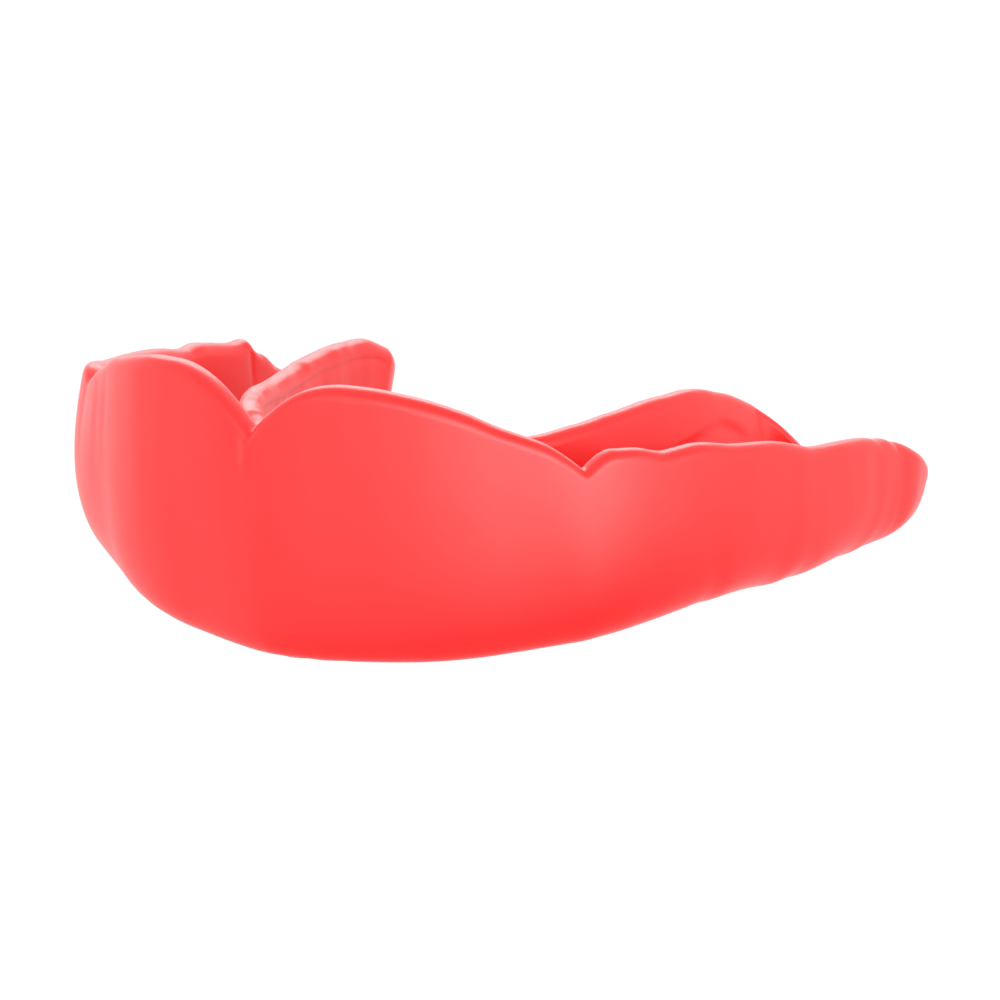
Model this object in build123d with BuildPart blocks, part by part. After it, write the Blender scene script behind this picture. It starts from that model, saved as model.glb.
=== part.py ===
from build123d import *
import math
import os

# A one-piece moulded sports mouthguard for the upper teeth, lying on its biting face. It is a thin
# U-shaped channel: a tall cheek-side wall runs round the outside, a lower tongue-side wall runs
# round the inside, and a floor joins them. The floor is the biting face.
# X runs across the mouth, +Y runs from the front teeth to the molars, and +Z runs up out of the
# channel. The origin is at the centre of the base. All sizes are in millimetres.

WALL = 2.0  # moulded thickness of the walls and the floor

# The floor's centre line, seen from above: a squared ellipse that runs on straight at the molars
ARCH_HALF_WIDTH = 24.0
ARCH_DEPTH = 34.0  # the curved part of the line, front to back
ARCH_SQUARENESS = 2.7  # 2 is an ellipse, and more is squarer
ARCH_STRAIGHT = 2.3
ARCH_FRONT = -18.67  # where the line crosses the midline

# Sizes that change along the line: (distance from the midline, value)
CHEEK_REACH = [(0, 6.0), (8, 5.3), (16, 5.6), (24, 7.2), (34, 7.5), (51, 7.8)]
CHEEK_RIM = [(0, 23.2), (8, 23.6), (13, 22.2), (19, 19.0), (24, 17.5), (32, 15.3), (40, 13.3), (51, 10.6)]
TONGUE_REACH = [(0, 6.8), (10, 7.2), (20, 7.7), (30, 8.2), (40, 7.9), (51, 7.5)]
TONGUE_RIM = [(0, 12.8), (10, 13.9), (20, 14.6), (36, 14.7), (44, 14.0), (51, 11.4)]
FLOOR = [(0, -0.35), (10, 0.1), (20, 0.9), (30, 1.4), (40, 0.7), (51, -0.35)]
BULGE = [(0, 1.2), (20, 1.17), (51, 1.02)]  # how far the cheek wall swells out, as a share of its reach
BULGE_RISE = [(0, 0.0), (20, 0.08), (51, 0.3)]  # how high up it swells, as a share of its height

# Shape of the section's other curves, as shares of the same reach and height
CHEEK_FLAT = 0.86
TONGUE_FLAT = 0.72
TONGUE_SWELL = 0.76
TONGUE_RISE = 0.3

# The rounded molar end, which leans towards the cheek
NOSE = 7.6
NOSE_LEAN = 3.1
NOSE_LEAN_POWER = 1.2  # the lean gathers towards the tip
NOSE_RIM = 3.3  # height of the rim at the very tip
NOSE_SOLE_POWER = 5  # the floor stays low until close to the tip, and then rises to the rim

# Notches that clear the folds of skin behind the lip and inside each cheek
LIP_NOTCH_BOTTOM = 18.6
LIP_NOTCH_HALF_WIDTH = 6.5
CHEEK_NOTCH_AT = 20.4  # distance from the midline along the arch
CHEEK_NOTCH_BOTTOM = 16.5
CHEEK_NOTCH_FRONT = 1.9  # width of its steep side
CHEEK_NOTCH_BACK = 4.0  # width of its gentle side
NOTCH_SIDE_CURVE = 1.6  # radius of a notch's convex side, as a share of its width
LIP_NOTCH_OVER, CHEEK_NOTCH_OVER = 0.3, 0.6  # the convex sides end this far above the rim
NOTCH_LENGTH = 12  # from the centre line out past the cheek wall

RIM_ROUND = 0.6
RIM_EDGE = 100  # only the edges that run all along the rims are longer than this

# Construction sizes
OVER_RIM = 2.0  # the hollow's curved sides run on this far past the rims
ABOVE = 8.0  # the cutters stand this far above that
LOOK_ALONG = 0.8  # the line's direction is taken between points this far before and behind
UNDER_BASE = (90, 90, 8)  # the block that cuts the biting face flat
STATIONS = [47, 42, 37, 32, 28, 24, 20, 16, 12, 8, 4, 0]
NOSE_STATIONS = [0.97, 0.88, 0.72, 0.5, 0.25, 0.0]


def smooth(table, distance):
    """The value at a distance along the arch: a smooth curve through the table's points."""
    distance = min(max(distance, table[0][0]), table[-1][0])
    last = len(table) - 1
    first = max(i for i in range(last) if table[i][0] <= distance)
    span = table[first + 1][0] - table[first][0]
    t = (distance - table[first][0]) / span
    slopes = []
    for i in (first, first + 1):
        before, after = table[max(i - 1, 0)], table[min(i + 1, last)]
        slopes.append(0.0 if i == 0 else (after[1] - before[1]) / (after[0] - before[0]))
    value = (2 * t**3 - 3 * t**2 + 1) * table[first][1] + (3 * t**2 - 2 * t**3) * table[first + 1][1]
    return value + span * ((t**3 - 2 * t**2 + t) * slopes[0] + (t**3 - t**2) * slopes[1])


def arch_line(steps=900):
    """Closely spaced points of the centre line, from the midline to the end of its +X side."""
    power = 2 / ARCH_SQUARENESS
    points = []
    for step in range(steps + 1):
        angle = math.pi / 2 * step / steps
        x = ARCH_HALF_WIDTH * math.sin(angle) ** power
        y = ARCH_FRONT + ARCH_DEPTH * (1 - abs(math.cos(angle)) ** power)
        points.append(Vector(x, y, 0))
    points.append(points[-1] + Vector(0, ARCH_STRAIGHT, 0))
    return points


ARCH = arch_line()
DISTANCES = [0.0]
for before, after in zip(ARCH, ARCH[1:]):
    DISTANCES.append(DISTANCES[-1] + (after - before).length)
ARCH_LENGTH = DISTANCES[-1]


def arch_point(distance):
    """The point of the centre line at that distance from the midline, on the +X side."""
    after = next(i for i in range(1, len(DISTANCES)) if DISTANCES[i] >= distance - 1e-9)
    share = (distance - DISTANCES[after - 1]) / (DISTANCES[after] - DISTANCES[after - 1])
    return ARCH[after - 1] + (ARCH[after] - ARCH[after - 1]) * share


def arch_plane(distance, side, beyond=0.0):
    """The section plane there: its x runs out to the cheek, and its y runs up."""
    point = arch_point(distance) + Vector(0, beyond, 0)
    ahead = arch_point(min(distance + LOOK_ALONG, ARCH_LENGTH))
    behind = arch_point(max(distance - LOOK_ALONG, 0.0))
    out = (ahead - behind).normalized().cross(Vector(0, 0, 1))
    if distance == 0:
        out = Vector(0, -1, 0)
    if beyond:
        out = Vector(1, 0, 0)
    out = Vector(side * out.X, out.Y, 0)
    return Plane(origin=(side * point.X, point.Y, 0), x_dir=out, z_dir=out.cross(Vector(0, 0, 1)))


def section(plane, distance, nose, inset):
    """The channel's closed outline: cheek wall, floor and tongue wall.

    nose is 0 along the arch, and runs to 1 at the tip of the molar end. A positive inset gives the
    hollow's outline, which also stands above the rims.
    """
    taper = math.sqrt(1 - nose**2)
    tip = nose * (NOSE - inset) / NOSE
    centre = NOSE_LEAN * nose**NOSE_LEAN_POWER
    over = OVER_RIM if inset else 0.0
    floor = smooth(FLOOR, distance) + inset + NOSE_RIM * tip**NOSE_SOLE_POWER
    cheek = smooth(CHEEK_REACH, distance) * taper - inset * (taper if nose else 1)
    tongue = smooth(TONGUE_REACH, distance) * taper - inset * (taper if nose else 1)
    cheek_rim = smooth(CHEEK_RIM, distance) * (1 - tip) + NOSE_RIM * tip + over
    tongue_rim = smooth(TONGUE_RIM, distance) * (1 - tip) + NOSE_RIM * tip + over
    cheek_swell = centre + smooth(BULGE, distance) * cheek
    swell_height = floor + smooth(BULGE_RISE, distance) * (cheek_rim - floor)
    cheek_top = (centre + cheek, cheek_rim)
    tongue_top = (centre - tongue, tongue_rim)
    bottom = (centre, floor)
    lean_height = floor + TONGUE_RISE * (tongue_rim - floor)
    with BuildSketch(plane) as outline:
        with BuildLine():
            Bezier(cheek_top, (cheek_swell, swell_height), (centre + CHEEK_FLAT * cheek, floor), bottom)
            Bezier(
                bottom,
                (centre - TONGUE_FLAT * tongue, floor),
                (centre - TONGUE_SWELL * tongue, lean_height),
                tongue_top,
            )
            if inset:
                above = max(cheek_rim, tongue_rim) + ABOVE
                Polyline(tongue_top, (tongue_top[0], above), (cheek_top[0], above), cheek_top)
            else:
                Line(tongue_top, cheek_top)
        make_face()
    return outline.sketch


def channel(inset):
    """Outlines from the tip of one molar end, round the front, to the tip of the other."""
    reach = NOSE - inset
    half = [(ARCH_LENGTH, nose) for nose in NOSE_STATIONS] + [(s, 0.0) for s in STATIONS]
    whole = [(1, *station) for station in half]
    whole += [(-1, *station) for station in reversed(half[:-1])]
    return [section(arch_plane(s, side, reach * nose), s, nose, inset) for side, s, nose in whole]


def notch_outline(plane, bottom, front, back, top):
    """A V-shaped notch with convex sides, open upwards."""
    with BuildSketch(plane) as outline:
        with BuildLine():
            front_side = RadiusArc((-front, top), (0, bottom), front * NOTCH_SIDE_CURVE)
            back_side = RadiusArc((0, bottom), (back, top), back * NOTCH_SIDE_CURVE)
            Polyline(back_side @ 1, (back, top + ABOVE), (-front, top + ABOVE), front_side @ 0)
        make_face()
    return outline.sketch


with BuildPart() as mouthguard:
    loft(channel(0.0))
    loft(channel(WALL), mode=Mode.SUBTRACT)
    fillet(mouthguard.edges().filter_by(lambda edge: edge.length > RIM_EDGE), RIM_ROUND)
    lip_notch = notch_outline(
        Plane(origin=(0, ARCH_FRONT, 0), x_dir=(1, 0, 0), z_dir=(0, -1, 0)),
        LIP_NOTCH_BOTTOM,
        LIP_NOTCH_HALF_WIDTH,
        LIP_NOTCH_HALF_WIDTH,
        smooth(CHEEK_RIM, LIP_NOTCH_HALF_WIDTH) + LIP_NOTCH_OVER,
    )
    extrude(lip_notch, amount=NOTCH_LENGTH, mode=Mode.SUBTRACT)
    for side in (1, -1):
        across = arch_plane(CHEEK_NOTCH_AT, side)
        along = Vector(0, 0, 1).cross(across.x_dir) * side
        cheek_notch = notch_outline(
            Plane(origin=across.origin, x_dir=along, z_dir=along.cross(Vector(0, 0, 1))),
            CHEEK_NOTCH_BOTTOM,
            CHEEK_NOTCH_FRONT,
            CHEEK_NOTCH_BACK,
            smooth(CHEEK_RIM, CHEEK_NOTCH_AT) + CHEEK_NOTCH_OVER,
        )
        extrude(cheek_notch, amount=NOTCH_LENGTH * side, mode=Mode.SUBTRACT)
    with Locations((0, 0, -UNDER_BASE[2] / 2)):
        Box(*UNDER_BASE, mode=Mode.SUBTRACT)

mouthguard.part.label = "mouthguard"
os.makedirs("parts", exist_ok=True)
export_step(mouthguard.part, "parts/mouthguard.step")
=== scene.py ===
import math

import bmesh
import bpy
import numpy as np
from mathutils import Matrix, Vector


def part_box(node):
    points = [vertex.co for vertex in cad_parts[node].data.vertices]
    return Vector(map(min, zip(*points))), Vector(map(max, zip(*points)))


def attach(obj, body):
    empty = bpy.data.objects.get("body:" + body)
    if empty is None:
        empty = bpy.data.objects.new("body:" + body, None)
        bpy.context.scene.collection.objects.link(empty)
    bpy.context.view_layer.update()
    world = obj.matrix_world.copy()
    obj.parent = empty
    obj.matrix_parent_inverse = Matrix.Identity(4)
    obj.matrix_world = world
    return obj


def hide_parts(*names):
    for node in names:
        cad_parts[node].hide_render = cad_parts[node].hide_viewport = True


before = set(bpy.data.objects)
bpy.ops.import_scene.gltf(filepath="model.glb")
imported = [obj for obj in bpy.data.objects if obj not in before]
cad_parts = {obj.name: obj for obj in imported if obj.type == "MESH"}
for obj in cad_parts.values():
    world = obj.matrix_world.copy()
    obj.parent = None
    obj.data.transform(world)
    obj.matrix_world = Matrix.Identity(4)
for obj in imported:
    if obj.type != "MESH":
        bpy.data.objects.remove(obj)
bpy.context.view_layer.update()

NODE_LOW, NODE_HIGH = (Vector(corner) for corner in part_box("mouthguard"))

# A moulded mouthguard, described in millimetres. It is a thin channel: X runs across the mouth,
# +Y from the front teeth to the molars, +Z up out of the channel. The floor's centre line runs
# from the midline round to each molar end, and distances along it are called s: positive on the
# +X side and negative on the -X side.
MM = 0.001
MIDLINE = (NODE_LOW.x + NODE_HIGH.x) / 2 / MM
BASE = NODE_LOW.z / MM
SIDE_MARGIN, FRONT_MARGIN = 8.1, 6.33  # from the centre line out to the guard's box
ARCH_HALF_WIDTH = (NODE_HIGH.x - NODE_LOW.x) / 2 / MM - SIDE_MARGIN
ARCH_FRONT = NODE_LOW.y / MM + FRONT_MARGIN
ARCH_DEPTH = 34.0
ARCH_SQUARENESS = 2.7  # 2 is an ellipse, and more is squarer
ARCH_STRAIGHT = 2.3  # the line runs on straight at the molars
THICKNESS = 2.1
RIM_SQUARENESS = 2.4  # of the rim's section: 2 is round
SIDES_MEET = 0.8  # the two halves' values pass into each other over about this distance

# Pairs of (distance from the midline, value). Where the two halves differ, the +X half is first.
# The cheek-side wall reaches out from the centre line, and swells out below its rim.
CHEEK_REACH = ([(0, 6.0), (8, 5.2), (16, 5.6), (24, 7.5), (34, 7.5), (44, 7.8), (51, 7.9)],
               [(0, 6.0), (8, 5.1), (16, 5.1), (24, 6.75), (34, 7.3), (44, 7.8), (51, 7.9)])
CHEEK_RIM = ([(0, 22.6), (4, 22.75), (8, 22.6), (11, 22.05), (14, 20.9), (16, 19.65), (17.8, 18.7),
              (19, 18.1), (21, 17.6), (22.6, 17.3), (24, 17.1), (26.3, 16.3), (28, 16.3), (32, 15.2),
              (36, 14.2), (38, 13.4), (40, 12.55), (44, 11.8), (47.2, 11.1), (48.4, 10.65),
              (49.6, 10.35), (51, 9.55)],
             [(0, 22.8), (8, 22.75), (10, 22.6), (12, 22.1), (14, 21.4), (16, 20.7), (18, 19.5), (20, 18.5),
              (22, 18.0), (24, 17.65), (28, 16.3), (32, 15.35), (36, 14.4), (38, 13.8), (40, 13.1),
              (41, 12.9), (42, 12.9), (44, 12.4), (48, 11.35), (48.9, 11.3), (49.5, 10.6), (51, 9.3)])
CHEEK_FLAT = ([(0, 0.91), (14, 0.88), (26, 0.83), (40, 0.85), (51, 0.87)],
              [(0, 0.91), (8, 0.97), (15, 1.08), (22, 1.07), (30, 0.97), (40, 0.88), (51, 0.87)])
CHEEK_SWELL = ([(0, 1.22), (14, 1.24), (26, 1.22), (40, 1.11), (51, 1.05)],
               [(0, 1.22), (8, 1.30), (15, 1.44), (22, 1.53), (30, 1.38), (42, 1.12), (51, 1.05)])
CHEEK_SWELL_RISE = ([(0, -0.18), (14, -0.04), (26, 0.13), (40, 0.25), (51, 0.31)],
                    [(0, -0.18), (8, -0.10), (15, 0.06), (22, 0.22), (30, 0.26), (51, 0.31)])
# The tongue-side wall
TONGUE_REACH = [(0, 6.8), (10, 7.2), (20, 7.7), (30, 8.2), (40, 7.9), (51, 7.5)]
TONGUE_RIM = ([(0, 13.3), (10, 13.9), (20, 14.65), (30, 14.75), (36, 14.85), (42, 14.45),
               (44, 14.05), (46, 13.3), (48, 12.5), (51, 10.85)],
              [(0, 13.3), (10, 13.9), (20, 14.6), (24, 14.6), (28, 14.2), (32, 13.85), (38, 13.8),
               (44, 13.5), (48, 12.85), (51, 11.4)])
TONGUE_FLAT, TONGUE_SWELL, TONGUE_SWELL_RISE = 0.70, 0.75, 0.30
FLOOR = [(0, 0.0), (10, 0.15), (20, 0.9), (30, 1.6), (40, 0.6), (51, 0.0)]

# Round the molar ends: (angle from the cheek side round to the tongue side, value). The two ends
# of each table come from the walls that the molar end joins.
END_REACH = ([(22, 8.75), (45, 9.5), (90, 7.0), (135, 5.7)], [(45, 9.2), (90, 7.0), (135, 5.8)])
END_RIM = ([(22, 8.15), (45, 5.6), (90, 3.0), (135, 7.0), (158, 9.1)],
           [(22, 7.5), (45, 5.2), (90, 3.0), (135, 7.4)])
END_FLAT = [(90, 0.80)]
END_SWELL = [(45, 0.89), (90, 0.86)]

# The notch behind the lip, a little off centre, and the smaller one inside each cheek
LIP_NOTCH_AT, LIP_NOTCH_DEPTH, LIP_NOTCH_WIDTH, LIP_NOTCH_POWER = -0.8, 4.4, 7.6, 2.2
CHEEK_NOTCH_AT = (20.9, 21.2)
CHEEK_NOTCH_DEPTH = (1.75, 0.9)
CHEEK_NOTCH_FRONT, CHEEK_NOTCH_BACK, CHEEK_NOTCH_POWER = 2.4, 1.7, 1.6

# Small relief on the skins
CALM = 3.5  # the relief fades out over this distance before the molar ends
WAVE_HEIGHT, FINE_WAVE_HEIGHT = 0.02, 0.012
SCALLOPS_FROM = 27
SCALLOP_HEIGHT = 0.06
LIP_FOLDS = [(0.0, 0.17, 0.5), (-0.9, -0.10, 0.6), (1.1, 0.08, 0.5)]  # (s past the notch, height, width)
LIP_FOLD_SLANT = 3.2
FAR_FOLDS_AT = -17.5
FAR_FOLD_HEIGHT = 0.02
CREASE_AT, CREASE_DEPTH, CREASE_WIDTH = -48.9, 0.14, 0.45  # inside the -X cheek wall
WRINKLE_HEIGHT, LONG_WRINKLE_HEIGHT = 0.035, 0.06
NEAR_WRINKLE_SHARE = 0.25  # the +X half's tongue-side rim is smoother
KNOBS = [(16.2, 0.08, 0.7), (31.0, 0.08, 0.9)]  # on the tongue-side rim: (distance, height, width)
STREAK_HEIGHT, BROAD_STREAK_HEIGHT = 0.008, 0.03
GROOVE_DEPTH = 0.13  # it runs just below the tongue-side rim
STEP_DEPTH = 0.22
STEP_LINE = [(33, 9.6), (38, 10.9), (44.5, 11.7), (49, 9.6)]  # height of the step left by a molar, +X side

# How finely the mesh is divided
ARCH_POINTS = 3000
CURVE_POINTS = 160
STATION_STEP = 0.22
SKIN_POINTS = 56
RIM_POINTS = 14
END_SECTIONS = 90
WELD_DISTANCE = 0.003
CROWDING = 1.5  # more than 1 crowds a skin's points towards the rim
SHARE = 1 - (1 - np.linspace(0, 1, SKIN_POINTS)) ** CROWDING  # their shares of the skin's length

# Light and camera
FLOOR_SIZE = 6
GLOW_HEIGHTS = [(-0.42, 0.0), (0.08, 1.0), (0.62, 0.0)]
CAMERA_AZIMUTH, CAMERA_ELEVATION, CAMERA_ROLL = 34.42, 17.84, -3.04
CAMERA_DISTANCE = 0.5
AIM = Vector((6.88, -2.02, 7.39)) * MM
LENS, SENSOR_WIDTH = 227.0, 36.0


def smooth(table, at):
    """A smooth curve through the table's points, which never overshoots between them."""
    x, y = np.array(table, float).T
    step = np.diff(x)
    rise = np.diff(y) / step
    slope = np.zeros(len(x))
    slope[-1] = rise[-1]
    for i in range(1, len(x) - 1):
        if rise[i - 1] * rise[i] > 0:
            before, after = 2 * step[i] + step[i - 1], step[i] + 2 * step[i - 1]
            slope[i] = (before + after) / (before / rise[i - 1] + after / rise[i])
    at = np.clip(at, x[0], x[-1])
    i = np.clip(np.searchsorted(x, at, side="right") - 1, 0, len(x) - 2)
    t = (at - x[i]) / step[i]
    value = (2 * t**3 - 3 * t**2 + 1) * y[i] + (3 * t**2 - 2 * t**3) * y[i + 1]
    return value + step[i] * ((t**3 - 2 * t**2 + t) * slope[i] + (t**3 - t**2) * slope[i + 1])


def hill(distance, width):
    """A smooth bump, 1 at distance 0 and fading over width."""
    return np.exp(-(distance / width) ** 2)


def ramp(value):
    """Rises smoothly from 0 to 1 as the value does."""
    t = np.clip(value, 0, 1)
    return t * t * (3 - 2 * t)


def wave(s, length, shift=0.0):
    """A sine wave along s, of height 1 and that length."""
    return np.sin(2 * math.pi * s / length + shift)


def arch_line():
    """The centre line's points on the +X side, and the distance along it at each."""
    angle = np.linspace(0, math.pi / 2, ARCH_POINTS)
    power = 2 / ARCH_SQUARENESS
    x = ARCH_HALF_WIDTH * np.sin(angle) ** power
    y = ARCH_FRONT + ARCH_DEPTH * (1 - np.abs(np.cos(angle)) ** power)
    x = np.append(x, ARCH_HALF_WIDTH)
    y = np.append(y, ARCH_FRONT + ARCH_DEPTH + ARCH_STRAIGHT)
    along = np.concatenate([[0], np.cumsum(np.hypot(np.diff(x), np.diff(y)))])
    return x, y, along


LINE_X, LINE_Y, LINE_S = arch_line()
ARCH_LENGTH = LINE_S[-1]


def arch_point(s, look=0.3):
    """The centre line's point and its outward direction, for s of either sign."""
    side = 1.0 if s >= 0 else -1.0
    ends = np.clip([abs(s) - look, abs(s) + look], 0.0, ARCH_LENGTH)
    dx = np.diff(np.interp(ends, LINE_S, LINE_X))[0]
    dy = np.diff(np.interp(ends, LINE_S, LINE_Y))[0]
    if abs(s) < look:
        dx, dy = 1.0, 0.0
    length = math.hypot(dx, dy)
    point = np.array([side * np.interp(abs(s), LINE_S, LINE_X), np.interp(abs(s), LINE_S, LINE_Y)])
    return point, np.array([side * dy / length, -dx / length])


def across_sides(tables, s):
    """The value at s, passing smoothly from one half's table to the other's at the midline."""
    share = 1 / (1 + math.exp(-s / SIDES_MEET))
    return share * smooth(tables[0], abs(s)) + (1 - share) * smooth(tables[1], abs(s))


def calm(s):
    """1 along the arch, and 0 where the molar ends begin."""
    return ramp((ARCH_LENGTH - abs(s)) / CALM)


def cheek_rim(s):
    """Height of the cheek-side rim, with its notches."""
    height = across_sides(CHEEK_RIM, s)
    past = abs(s - LIP_NOTCH_AT)
    if past < LIP_NOTCH_WIDTH:
        height -= LIP_NOTCH_DEPTH * (1 - past / LIP_NOTCH_WIDTH) ** LIP_NOTCH_POWER
    side = 0 if s > 0 else 1
    past = abs(s) - CHEEK_NOTCH_AT[side]
    width = CHEEK_NOTCH_BACK if past > 0 else CHEEK_NOTCH_FRONT
    if abs(past) < width:
        height -= CHEEK_NOTCH_DEPTH[side] * (1 - abs(past) / width) ** CHEEK_NOTCH_POWER
    return height


def cheek_shape(s):
    """Reach, rim height, flatness, swell and swell's rise of the cheek-side wall."""
    return (across_sides(CHEEK_REACH, s), cheek_rim(s), across_sides(CHEEK_FLAT, s),
            across_sides(CHEEK_SWELL, s), across_sides(CHEEK_SWELL_RISE, s))


def tongue_shape(s):
    """The same for the tongue-side wall."""
    return (smooth(TONGUE_REACH, abs(s)), across_sides(TONGUE_RIM, s), TONGUE_FLAT, TONGUE_SWELL,
            TONGUE_SWELL_RISE)


def skin(shape, floor):
    """The outer curve of half a section, from the floor's centre line up to the rim."""
    reach, rim, flat, swell, swell_rise = shape
    t = np.linspace(0, 1, CURVE_POINTS)
    out = reach * (3 * (1 - t) ** 2 * t * flat + 3 * (1 - t) * t**2 * swell + t**3)
    up = floor + (rim - floor) * (3 * (1 - t) * t**2 * swell_rise + t**3)
    length = np.concatenate([[0], np.cumsum(np.hypot(np.diff(out), np.diff(up)))])
    at = SHARE * (length[-1] - THICKNESS / 2)  # the rounded rim takes the rest
    return np.column_stack([np.interp(at, length, out), np.interp(at, length, up)])


def half_section(curve, outer_bump=0.0, inner_bump=0.0, rim_bump=0.0):
    """Outer skin, rounded rim and inner skin of half a section, as (out, up) points.

    The bumps raise each of them along its own normal, in millimetres.
    """
    along = np.gradient(curve, axis=0)
    along[0] = (1, 0)
    along /= np.linalg.norm(along, axis=1)[:, None]
    normal = np.column_stack([along[:, 1], -along[:, 0]])
    cap = THICKNESS / 2
    inner = curve - (THICKNESS + np.reshape(inner_bump, (-1, 1))) * normal
    middle = curve[-1] - cap * normal[-1]
    turn = np.linspace(0, math.pi, RIM_POINTS + 2)[1:-1]
    squarish = 2 / RIM_SQUARENESS
    sideways = np.sign(np.cos(turn)) * np.abs(np.cos(turn)) ** squarish
    upwards = np.sin(turn) ** squarish
    rim = middle + cap * (sideways[:, None] * normal[-1] + upwards[:, None] * along[-1])
    rim += rim_bump * np.sin(turn)[:, None] * (0.5 * normal[-1] + along[-1])
    return curve + np.reshape(outer_bump, (-1, 1)) * normal, rim, inner


def cheek_half(s):
    """The cheek-side half of the section at s, with its relief."""
    curve = skin(cheek_shape(s), smooth(FLOOR, abs(s)))
    waves = WAVE_HEIGHT * wave(s, 6.3, 1.0) + FINE_WAVE_HEIGHT * wave(s, 3.1) * wave(s, 17.0)
    bumps = waves * ramp((SHARE - 0.45) / 0.3)
    if s > SCALLOPS_FROM:
        # Shallow scallops where the underside curves up
        scallops = SCALLOP_HEIGHT * wave(s + 0.9 * wave(s, 9.7), 5.2, 0.5) * ramp((s - SCALLOPS_FROM) / 4)
        bumps = bumps + scallops * hill(SHARE - 0.32, 0.2)
    # Folds of soft plastic run down from the lip notch
    past = s - LIP_NOTCH_AT + LIP_FOLD_SLANT * (1 - SHARE)
    folds = sum(height * hill(past - at, width) for at, height, width in LIP_FOLDS)
    bumps = bumps + folds * ramp((SHARE - 0.84) / 0.12)
    crease = 0.0
    if s < 0:
        # Fine upright folds below the far notch
        fine_folds = FAR_FOLD_HEIGHT * wave(s, 1.6) * hill(s - FAR_FOLDS_AT, 2.0)
        bumps = bumps + fine_folds * hill(SHARE - 0.85, 0.15)
        crease = -CREASE_DEPTH * math.exp(-abs(s - CREASE_AT) / CREASE_WIDTH) * ramp((SHARE - 0.3) / 0.3)
    return half_section(curve, bumps * calm(s), crease)


def tongue_half(s):
    """The tongue-side half of the section at s, with its relief."""
    curve = skin(tongue_shape(s), smooth(FLOOR, abs(s)))
    wrinkles = WRINKLE_HEIGHT * wave(s + 0.5 * wave(s, 7.3), 2.9, 0.6) * wave(s, 13.1, 1.0)
    wrinkles += LONG_WRINKLE_HEIGHT * wave(s, 5.3, 2.0)
    wrinkles += sum(height * hill(abs(s) - at, width) for at, height, width in KNOBS)
    if s > 0:
        wrinkles *= NEAR_WRINKLE_SHARE
    streaks = STREAK_HEIGHT * wave(s - 5 * SHARE, 2.3) + BROAD_STREAK_HEIGHT * wave(s, 6.1, 1.0)
    groove = -GROOVE_DEPTH * hill(SHARE - 0.978, 0.018)
    outer = (groove + streaks * ramp((SHARE - 0.6) / 0.2)) * calm(s)
    step = 0.0
    if s > STEP_LINE[0][0]:
        below = smooth(STEP_LINE, s) - curve[:, 1]
        step = -STEP_DEPTH * ramp(below / 1.3) * ramp((s - STEP_LINE[0][0]) / 4)
    return half_section(curve, outer, step * calm(s), wrinkles * calm(s))


def end_half(degrees, side):
    """Half a section at that angle round the molar end."""
    which = 0 if side > 0 else 1
    cheek, tongue = cheek_shape(side * ARCH_LENGTH), tongue_shape(side * ARCH_LENGTH)
    between = (END_REACH[which], END_RIM[which], END_FLAT, END_SWELL, [])
    shape = [smooth([(0, first), *middle, (180, last)], degrees)
             for first, middle, last in zip(cheek, between, tongue)]
    curve = skin(shape, smooth(FLOOR, ARCH_LENGTH))
    return half_section(curve)


def placed(points, origin, out):
    """(out, up) points of a half section, set in space."""
    flat = origin[None, :] + points[:, :1] * out[None, :]
    return np.column_stack([flat, np.maximum(points[:, 1], 0.0)])


def guard_rows():
    """Closed rings of points round the channel's sections, and the fans of its molar ends."""
    count = 2 * int(round(ARCH_LENGTH / STATION_STEP)) + 1
    rings = []
    for s in np.linspace(-ARCH_LENGTH, ARCH_LENGTH, count):
        origin, out = arch_point(s)
        cheek_outer, cheek_edge, cheek_inner = (placed(part, origin, out) for part in cheek_half(s))
        tongue_outer, tongue_edge, tongue_inner = (placed(part, origin, -out) for part in tongue_half(s))
        outside = [cheek_outer[::-1], tongue_outer[1:], tongue_edge]
        inside = [tongue_inner[::-1], cheek_inner[1:], cheek_edge[::-1]]
        rings.append(np.vstack(outside + inside))
    fans = []
    for side in (-1, 1):
        origin = arch_point(side * ARCH_LENGTH)[0]
        fan = []
        for degrees in np.linspace(0, 180, END_SECTIONS + 1):
            angle = math.radians(degrees)
            out = np.array([side * math.cos(angle), math.sin(angle)])
            outer, rim, inner = (placed(part, origin, out) for part in end_half(degrees, side))
            fan.append(np.vstack([outer, rim, inner[::-1]]))
        fans.append((side, fan))
    return rings, fans


def build_guard():
    """One closed mesh of the rings and the fans, in metres."""
    rings, fans = guard_rows()
    points = []
    faces = []

    def sheet(rows, closed, flip):
        """Quads between neighbouring rows of points."""
        start = len(points)
        width = len(rows[0])
        for row in rows:
            points.extend(row.tolist())
        for i in range(len(rows) - 1):
            for j in range(width if closed else width - 1):
                a = start + i * width + j
                b = start + i * width + (j + 1) % width
                face = (a, b, b + width, a + width)
                faces.append(face[::-1] if flip else face)

    sheet(rings, True, False)
    for side, fan in fans:
        sheet(fan, False, side < 0)
    mesh = bpy.data.meshes.new("mouthguard_skin")
    mesh.from_pydata(points, [], faces)
    weld(mesh)
    mesh.transform(Matrix.Scale(MM, 4) @ Matrix.Translation((MIDLINE, 0, BASE)))
    mesh.shade_smooth()
    piece = bpy.data.objects.new("mouthguard_skin", mesh)
    bpy.context.collection.objects.link(piece)
    return piece


def weld(mesh):
    """Joins the sheets' edges where they meet, which closes the mesh."""
    work = bmesh.new()
    work.from_mesh(mesh)
    bmesh.ops.remove_doubles(work, verts=work.verts, dist=WELD_DISTANCE)
    bmesh.ops.recalc_face_normals(work, faces=work.faces)
    work.to_mesh(mesh)
    work.free()


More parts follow.
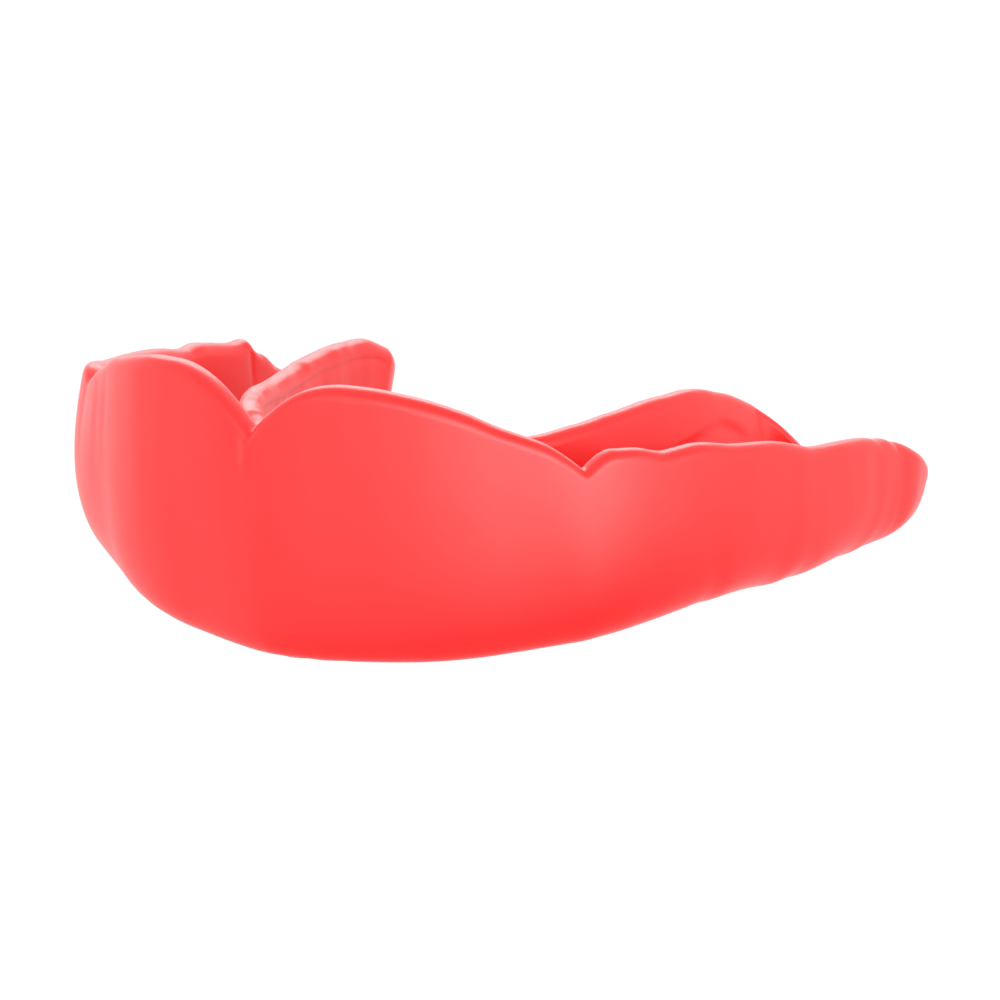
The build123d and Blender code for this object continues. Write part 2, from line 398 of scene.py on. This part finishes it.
def thermoplastic():
    """Soft red plastic: satin, faintly mottled, with a fine moulded grain."""
    material = bpy.data.materials.new("red_thermoplastic")
    material.use_nodes = True
    nodes, links = material.node_tree.nodes, material.node_tree.links
    shader = nodes["Principled BSDF"]
    shader.inputs["Subsurface Weight"].default_value = 0.25
    shader.inputs["Subsurface Radius"].default_value = (1.0, 0.12, 0.10)
    shader.inputs["Subsurface Scale"].default_value = 0.0008
    shader.inputs["Sheen Weight"].default_value = 0.10
    shader.inputs["Sheen Roughness"].default_value = 0.35
    shader.inputs["Coat Weight"].default_value = 0.2
    shader.inputs["Coat Roughness"].default_value = 0.15
    place = nodes.new("ShaderNodeTexCoord").outputs["Object"]

    def noise(scale, detail):
        """Noise through the plastic, with scale in waves per metre."""
        node = nodes.new("ShaderNodeTexNoise")
        node.inputs["Scale"].default_value = scale
        node.inputs["Detail"].default_value = detail
        links.new(place, node.inputs["Vector"])
        return node.outputs["Fac"]

    mottle = nodes.new("ShaderNodeMix")
    mottle.data_type = "RGBA"
    mottle.inputs["A"].default_value = (0.82, 0.005, 0.005, 1)
    mottle.inputs["B"].default_value = (0.89, 0.008, 0.008, 1)
    links.new(noise(scale=70, detail=3), mottle.inputs["Factor"])
    links.new(mottle.outputs["Result"], shader.inputs["Base Color"])

    satin = nodes.new("ShaderNodeMapRange")
    satin.inputs["To Min"].default_value = 0.34
    satin.inputs["To Max"].default_value = 0.46
    links.new(noise(scale=260, detail=4), satin.inputs["Value"])
    links.new(satin.outputs["Result"], shader.inputs["Roughness"])

    grain = nodes.new("ShaderNodeBump")
    grain.inputs["Strength"].default_value = 0.12
    grain.inputs["Distance"].default_value = 0.00004
    links.new(noise(scale=5200, detail=2), grain.inputs["Height"])
    links.new(grain.outputs["Normal"], shader.inputs["Normal"])
    return material


def white_floor():
    """A plain white that glows evenly, so the floor looks the same all over."""
    material = bpy.data.materials.new("white_floor")
    material.use_nodes = True
    shader = material.node_tree.nodes["Principled BSDF"]
    shader.inputs["Base Color"].default_value = (0.02, 0.02, 0.02, 1)
    shader.inputs["Roughness"].default_value = 1.0
    shader.inputs["Specular IOR Level"].default_value = 0.0
    shader.inputs["Emission Color"].default_value = (1, 1, 1, 1)
    shader.inputs["Emission Strength"].default_value = 1.0
    return material


def direction(azimuth, elevation):
    """The unit vector towards that place in the sky, with azimuth 0 in front of the guard."""
    a, e = math.radians(azimuth), math.radians(elevation)
    return Vector((math.sin(a) * math.cos(e), -math.cos(a) * math.cos(e), math.sin(e)))


def softbox(name, azimuth, elevation, width, height, watts, distance=0.6):
    """An oval lamp in that direction, turned towards the guard. Sizes are in metres."""
    data = bpy.data.lights.new(name, "AREA")
    data.shape = "ELLIPSE"
    data.size = width
    data.size_y = height
    data.energy = watts
    light = bpy.data.objects.new(name, data)
    away = direction(azimuth, elevation)
    light.location = away * distance
    light.rotation_euler = away.to_track_quat("Z", "Y").to_euler()
    bpy.context.collection.objects.link(light)


def room(below, horizon, overhead, glow, glow_azimuth, glow_spread):
    """A white room: its brightness by height, and a broad soft glow low down on one side."""
    world = bpy.data.worlds.new("studio")
    bpy.context.scene.world = world
    world.use_nodes = True
    nodes, links = world.node_tree.nodes, world.node_tree.links

    def shades(heights):
        """Brightness by height, from (height, brightness) with height -1 below and 1 overhead."""
        node = nodes.new("ShaderNodeValToRGB")
        node.color_ramp.interpolation = "EASE"
        stops = node.color_ramp.elements
        while len(stops) > 1:
            stops.remove(stops[-1])
        for i, (at, value) in enumerate(heights):
            stop = stops[0] if i == 0 else stops.new((at + 1) / 2)
            stop.position = (at + 1) / 2
            stop.color = (value, value, value, 1)
        links.new(level.outputs["Result"], node.inputs["Fac"])
        return node.outputs["Color"]

    def math_node(operation, first, second):
        """A Math node of two inputs, each a number or another node's output."""
        node = nodes.new("ShaderNodeMath")
        node.operation = operation
        for socket, value in zip(node.inputs, (first, second)):
            if isinstance(value, float):
                socket.default_value = value
            else:
                links.new(value, socket)
        return node.outputs["Value"]

    towards = nodes.new("ShaderNodeTexCoord").outputs["Generated"]
    parts = nodes.new("ShaderNodeSeparateXYZ")
    links.new(towards, parts.inputs["Vector"])
    level = nodes.new("ShaderNodeMapRange")
    level.inputs["From Min"].default_value = -1.0
    links.new(parts.outputs["Z"], level.inputs["Value"])
    facing = nodes.new("ShaderNodeVectorMath")
    facing.operation = "DOT_PRODUCT"
    facing.inputs[1].default_value = direction(glow_azimuth, 0)
    links.new(towards, facing.inputs[0])
    sideways = math_node("POWER", math_node("MAXIMUM", facing.outputs["Value"], 0.0), glow_spread)
    low = math_node("MULTIPLY", shades(GLOW_HEIGHTS), glow)
    everywhere = shades([(-1, below), (0, horizon), (1, overhead)])
    total = math_node("ADD", everywhere, math_node("MULTIPLY", sideways, low))
    links.new(total, nodes["Background"].inputs["Strength"])
    nodes["Background"].inputs["Color"].default_value = (1, 1, 1, 1)


guard = build_guard()
guard.data.materials.append(thermoplastic())
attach(guard, "root")
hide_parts("mouthguard")

bpy.ops.mesh.primitive_plane_add(size=FLOOR_SIZE, location=(0, 0, NODE_LOW.z))
floor = bpy.context.object
floor.name = "floor"
floor.data.materials.append(white_floor())
# The floor glows and only the camera sees it: it shows no shadow, and light still comes from below
floor.visible_diffuse = False
floor.visible_glossy = False
floor.visible_shadow = False

room(below=0.42, horizon=1.15, overhead=0.95, glow=5.4, glow_azimuth=48, glow_spread=2.8)
softbox("rim_light", azimuth=214, elevation=30, width=0.50, height=0.30, watts=1.2)

# A long lens, low in front on the +X side, and rolled a little
back = direction(CAMERA_AZIMUTH, CAMERA_ELEVATION)
level = Vector((0, 0, 1)).cross(back).normalized()
upright = back.cross(level)
roll = math.radians(CAMERA_ROLL)
right = level * math.cos(roll) + upright * math.sin(roll)
up = upright * math.cos(roll) - level * math.sin(roll)
camera_data = bpy.data.cameras.new("camera")
camera_data.lens = LENS
camera_data.sensor_width = SENSOR_WIDTH
camera = bpy.data.objects.new("camera", camera_data)
turn = Matrix((right, up, back)).transposed().to_4x4()
camera.matrix_world = Matrix.Translation(AIM + back * CAMERA_DISTANCE) @ turn
bpy.context.collection.objects.link(camera)
bpy.context.scene.camera = camera
bpy.context.scene.view_settings.view_transform = "Standard"
